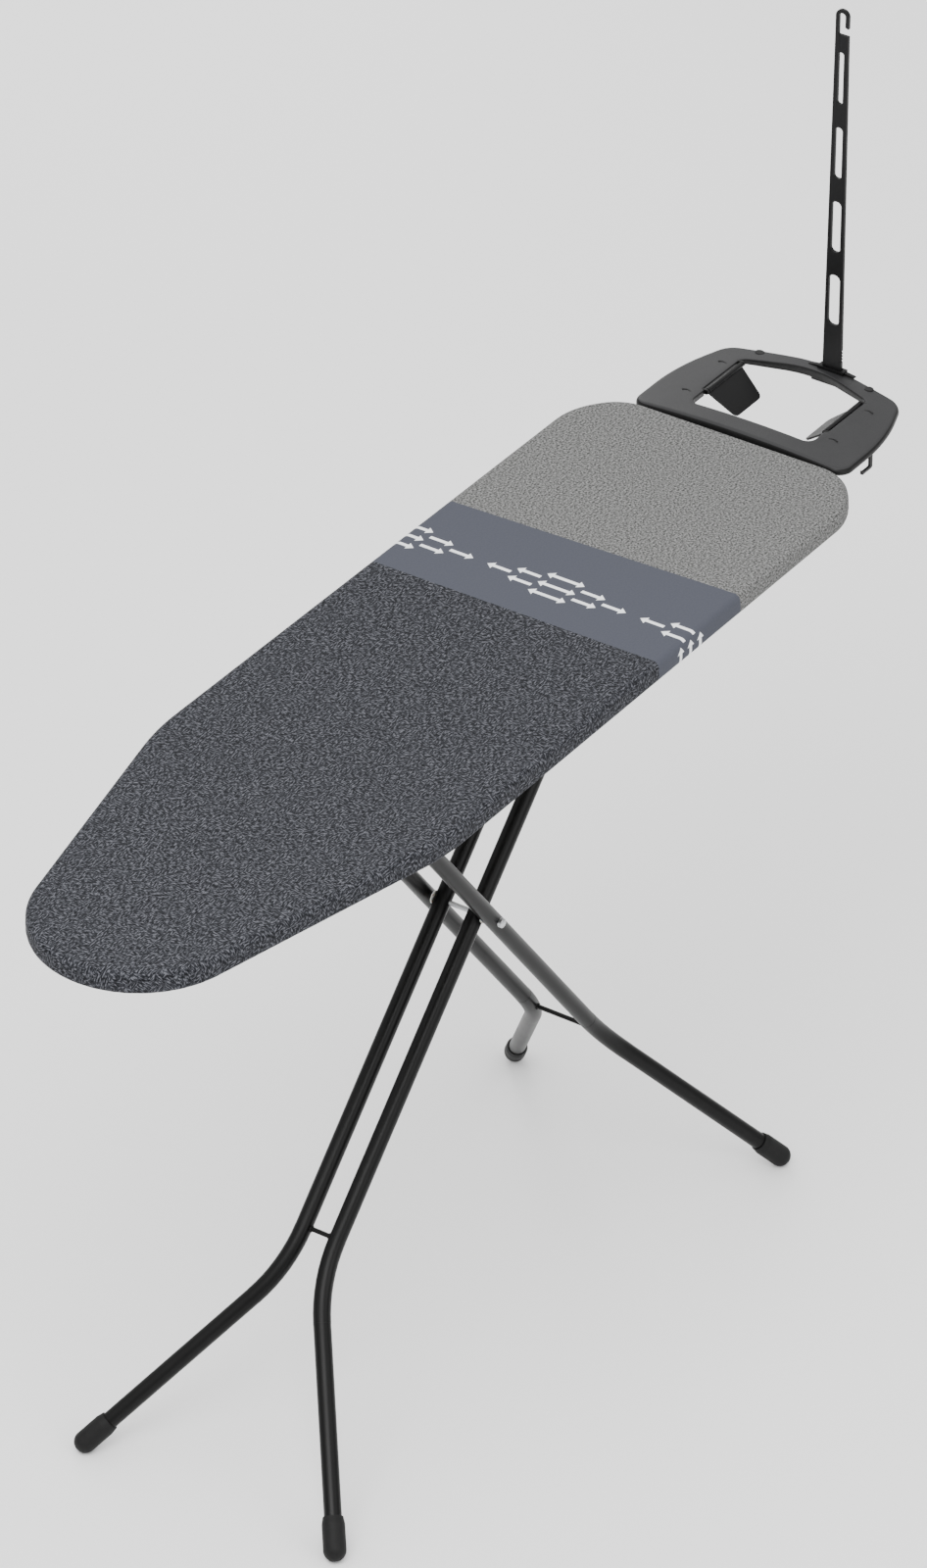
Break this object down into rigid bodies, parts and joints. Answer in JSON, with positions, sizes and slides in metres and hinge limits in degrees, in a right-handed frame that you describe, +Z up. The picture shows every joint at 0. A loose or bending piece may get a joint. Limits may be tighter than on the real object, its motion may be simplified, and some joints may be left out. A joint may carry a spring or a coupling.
{
  "type": "ironing board",
  "caption": "Folding ironing board: padded steel deck with a rounded nose, crossed tube legs, and at its straight end an open iron rest with hinged flaps and an upright flex holder.",
  "frame": {"origin": "on the floor, under the middle of the overall length and width", "axes": "+X along the board towards the straight end and the iron rest, +Y to the far side, +Z up"},
  "size_m": [1.456, 0.3996, 1.326],
  "materials": {
    "cover_cloth": "printed cotton cover, charcoal at the nose, slate band, light grey at the tail",
    "felt_pad": "felt and foam",
    "deck_steel": "powder-coated sheet steel",
    "leg_enamel": "satin black powder coat on steel tube",
    "zinc_steel": "zinc-plated",
    "rest_plastic": "moulded, fine grain",
    "flex_plastic": "moulded, fine grain",
    "foot_rubber": "moulded rubber",
    "nylon": "natural nylon",
    "grip_plastic": "moulded"
  },
  "bodies": {
    "board": {"cover": "cover_cloth", "pad": "felt_pad", "deck_sheet": "deck_steel", "deck_rim": "deck_steel", "nose_brace": "deck_steel", "lever_brace": "deck_steel", "middle_brace": "deck_steel", "hinge_brace": "deck_steel", "tail_brace_bar": "deck_steel", "guide_rail_far": "deck_steel", "guide_rail_near": "deck_steel", "hinge_bracket": "deck_steel", "lever_bracket_inner": "deck_steel", "lever_bracket_outer": "deck_steel", "return_spring": "zinc_steel", "rest_arm_far": "deck_steel", "rest_arm_near": "deck_steel", "arm_bolts": "zinc_steel", "rest_frame": "rest_plastic", "rest_screws": "zinc_steel", "flap_pin_far": "zinc_steel", "flap_pin_near": "zinc_steel", "side_hook": "rest_plastic", "flex_socket": "flex_plastic"},
    "inner_leg": {"inner_tube_far": "leg_enamel", "inner_tube_near": "leg_enamel", "inner_strut": "leg_enamel", "hinge_pin": "zinc_steel", "hinge_pin_clips": "zinc_steel", "inner_tube_plugs": "grip_plastic", "inner_foot_cap_far": "foot_rubber", "inner_foot_cap_near": "foot_rubber", "scissor_axle": "zinc_steel", "axle_head_far": "zinc_steel", "axle_head_near": "zinc_steel", "axle_washers": "nylon"},
    "outer_leg": {"outer_tube_far": "leg_enamel", "outer_tube_near": "leg_enamel", "outer_strut": "leg_enamel", "slide_bar": "zinc_steel", "glide_far": "nylon", "glide_near": "nylon", "outer_tube_plugs": "grip_plastic", "outer_foot_cap_far": "foot_rubber", "outer_foot_cap_near": "foot_rubber"},
    "release_lever": {"lever_shaft": "zinc_steel", "latch_rack": "zinc_steel", "lever_arm": "zinc_steel", "lever_grip": "grip_plastic"},
    "far_flap": {"rest_flap_far": "rest_plastic"},
    "near_flap": {"rest_flap_near": "rest_plastic"},
    "flex_strip": {"flex_holder": "flex_plastic"}
  },
  "joints": [
    {"name": "inner_leg_fold", "type": "hinge", "parent": "board", "child": "inner_leg", "pos_m": [0.24645, 0, 0.795], "axis": [0, 1, 0], "range_deg": [0, 45.8]},
    {"name": "outer_leg_fold", "type": "hinge", "parent": "inner_leg", "child": "outer_leg", "pos_m": [-0.02, 0, 0.521], "axis": [0, -1, 0], "range_deg": [0, 94.26]},
    {"name": "lever_squeeze", "type": "hinge", "parent": "board", "child": "release_lever", "pos_m": [-0.20893, 0, 0.826], "axis": [0, -1, 0], "range_deg": [0, 8], "stiffness_Nm_per_rad": 1.2, "springref_deg": -22.92},
    {"name": "far_flap_swing", "type": "hinge", "parent": "board", "child": "far_flap", "pos_m": [0.607, 0.08, 0.851], "axis": [-1, 0, 0], "range_deg": [0, 37]},
    {"name": "near_flap_swing", "type": "hinge", "parent": "board", "child": "near_flap", "pos_m": [0.607, -0.08, 0.851], "axis": [1, 0, 0], "range_deg": [0, 37]},
    {"name": "flex_strip_lift", "type": "slide", "parent": "board", "child": "flex_strip", "axis": [0, 0, 1], "range_m": [0, 0.03]}
  ],
  "couplings": [
    {"joint": "outer_leg_fold", "follows": "inner_leg_fold", "ratio": 2.057}
  ]
}
